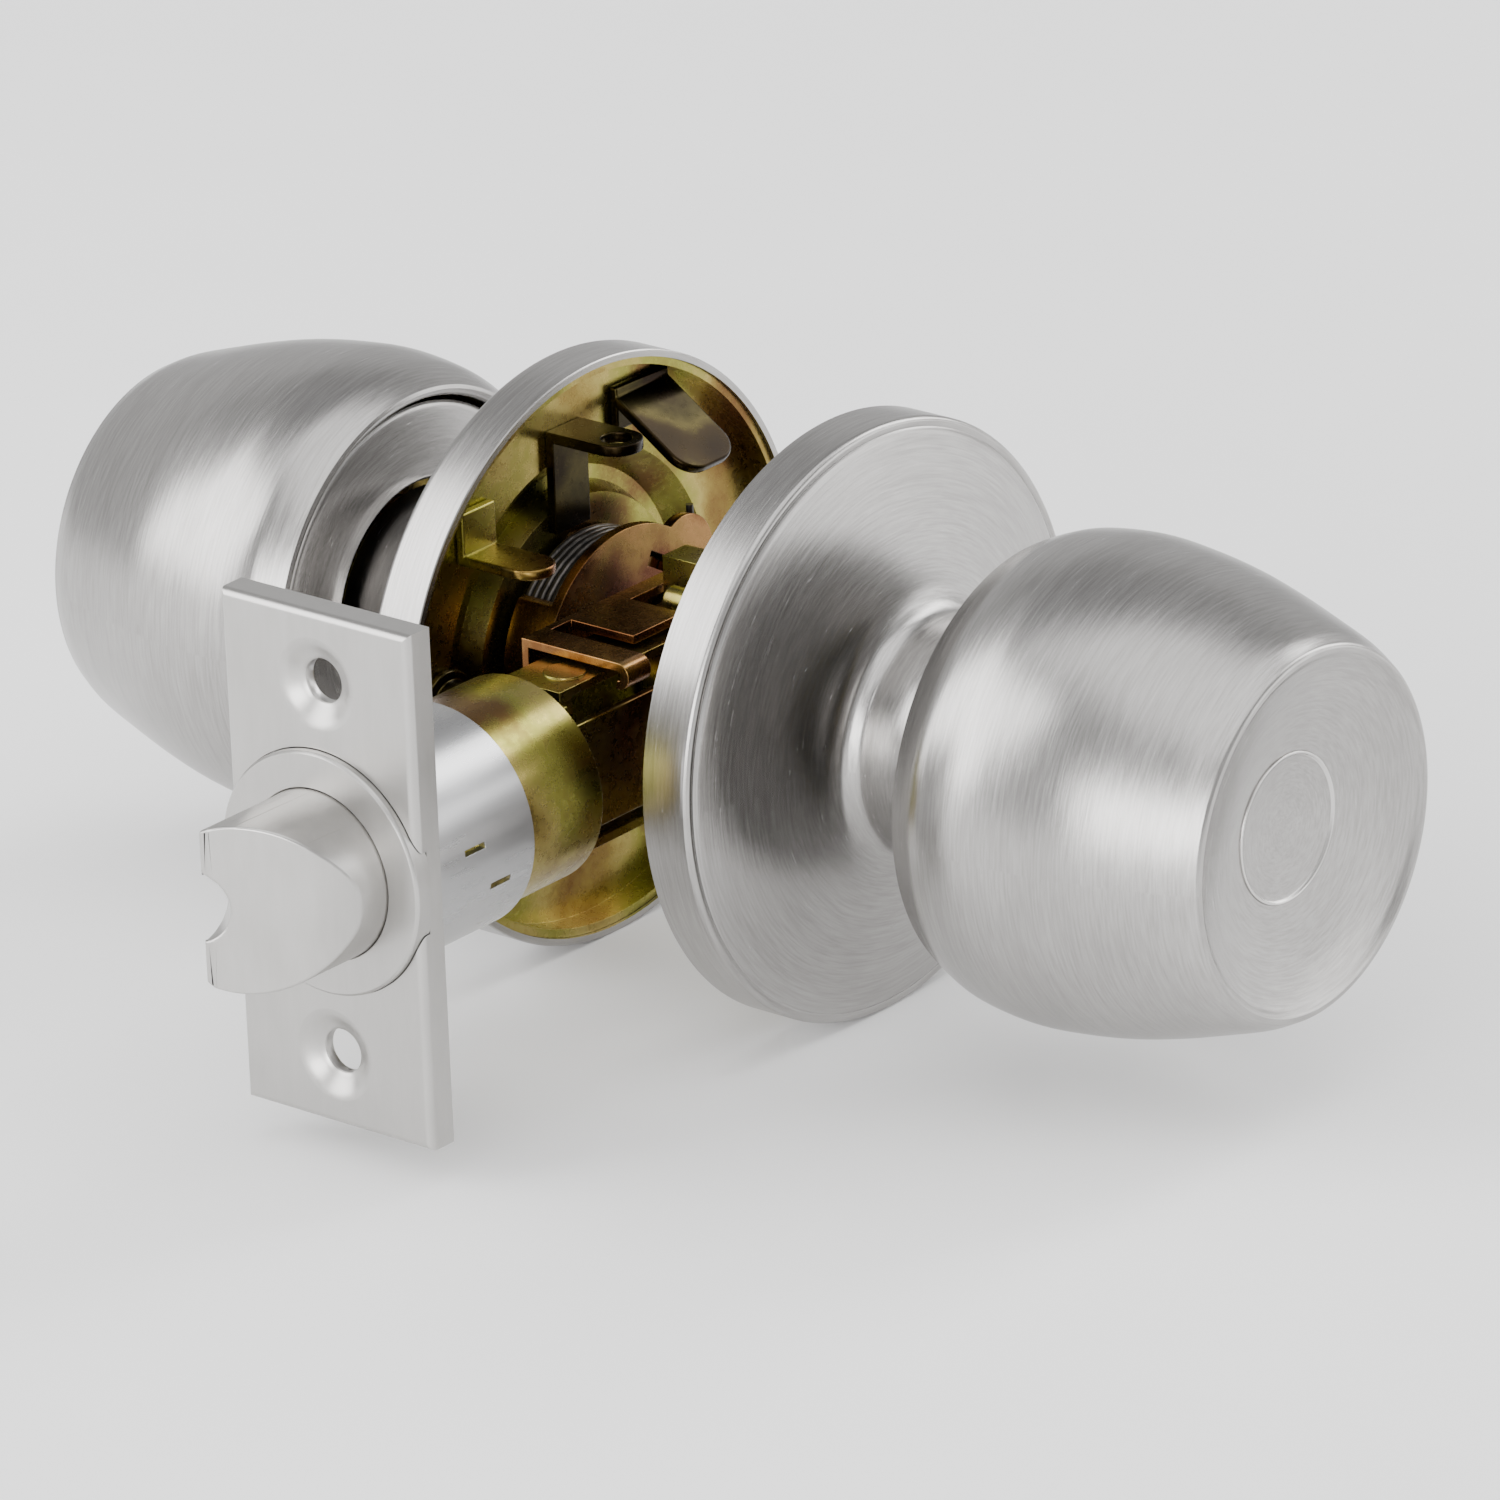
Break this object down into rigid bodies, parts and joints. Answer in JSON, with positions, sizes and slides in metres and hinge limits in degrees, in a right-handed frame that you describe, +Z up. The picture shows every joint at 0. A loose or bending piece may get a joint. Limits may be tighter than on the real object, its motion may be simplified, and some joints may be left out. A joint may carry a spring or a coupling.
{
  "type": "passage door knob set",
  "caption": "Keyless door knob set in satin steel: two barrel-shaped knobs on round roses, yellow-zinc inside parts and a tubular spring latch with a square-cornered faceplate.",
  "frame": {"origin": "where the knob axis crosses the latch axis, in the middle of the door thickness", "axes": "+Z up, knob axis along Y (front knob towards -Y), latch and bolt point to -X"},
  "size_m": [0.1125, 0.1574, 0.066],
  "materials": {
    "satin_steel": "spun, circumferential satin brushing",
    "satin_nickel": "fine satin nickel plate",
    "bright_zinc": "bright zinc plate",
    "yellow_zinc": "iridescent yellow zinc chromate on steel",
    "spring_steel": "dark oiled spring wire"
  },
  "bodies": {
    "fixed": {"front_rose": "satin_steel", "front_liner": "yellow_zinc", "front_stop": "yellow_zinc", "front_spring": "spring_steel", "rear_rose": "satin_steel", "rear_liner": "yellow_zinc", "rear_stop": "yellow_zinc", "rear_spring": "spring_steel", "rear_post_left": "yellow_zinc", "rear_post_right": "yellow_zinc", "rear_bracket": "yellow_zinc", "rear_tab": "yellow_zinc", "faceplate": "satin_nickel", "backplate": "satin_nickel", "flange_ring": "satin_nickel", "barrel": "bright_zinc", "sleeve": "yellow_zinc", "spring_seat": "yellow_zinc", "frame_front": "yellow_zinc", "frame_rear": "yellow_zinc", "frame_cover": "yellow_zinc", "bolt_spring": "spring_steel"},
    "front_turn": {"front_knob": "satin_steel", "front_face_disc": "satin_steel", "front_knob_cap": "satin_steel", "front_insert": "yellow_zinc", "front_hub": "yellow_zinc", "front_driver": "yellow_zinc", "front_clip": "spring_steel", "front_saddle": "yellow_zinc", "spindle": "yellow_zinc"},
    "rear_turn": {"rear_knob": "satin_steel", "rear_face_disc": "satin_steel", "rear_knob_cap": "satin_steel", "rear_insert": "yellow_zinc", "rear_hub": "yellow_zinc", "rear_driver": "yellow_zinc", "rear_clip": "spring_steel", "rear_saddle": "yellow_zinc"},
    "cam_turn": {"cam": "yellow_zinc"},
    "bolt_slide": {"bolt": "satin_nickel", "bolt_tail": "yellow_zinc"}
  },
  "joints": [
    {"name": "front_knob_turn", "type": "hinge", "parent": "fixed", "child": "front_turn", "pos_m": [0, 0, 0], "axis": [0, 1, 0], "range_deg": [0, 60], "stiffness_Nm_per_rad": 0.3, "deforming": ["front_spring", "rear_spring"]},
    {"name": "rear_knob_turn", "type": "hinge", "parent": "fixed", "child": "rear_turn", "pos_m": [0, 0, 0], "axis": [0, 1, 0], "range_deg": [0, 60]},
    {"name": "cam_turn", "type": "hinge", "parent": "fixed", "child": "cam_turn", "pos_m": [0, 0, 0], "axis": [0, 1, 0], "range_deg": [0, 60]},
    {"name": "bolt_slide", "type": "slide", "parent": "fixed", "child": "bolt_slide", "axis": [1, 0, 0], "range_m": [0, 0.0127], "deforming": ["bolt_spring"]}
  ],
  "couplings": [
    {"joint": "rear_knob_turn", "follows": "front_knob_turn", "ratio": 1},
    {"joint": "cam_turn", "follows": "front_knob_turn", "ratio": 1},
    {"joint": "bolt_slide", "follows": "front_knob_turn", "m_per_rad": 0.012128}
  ]
}
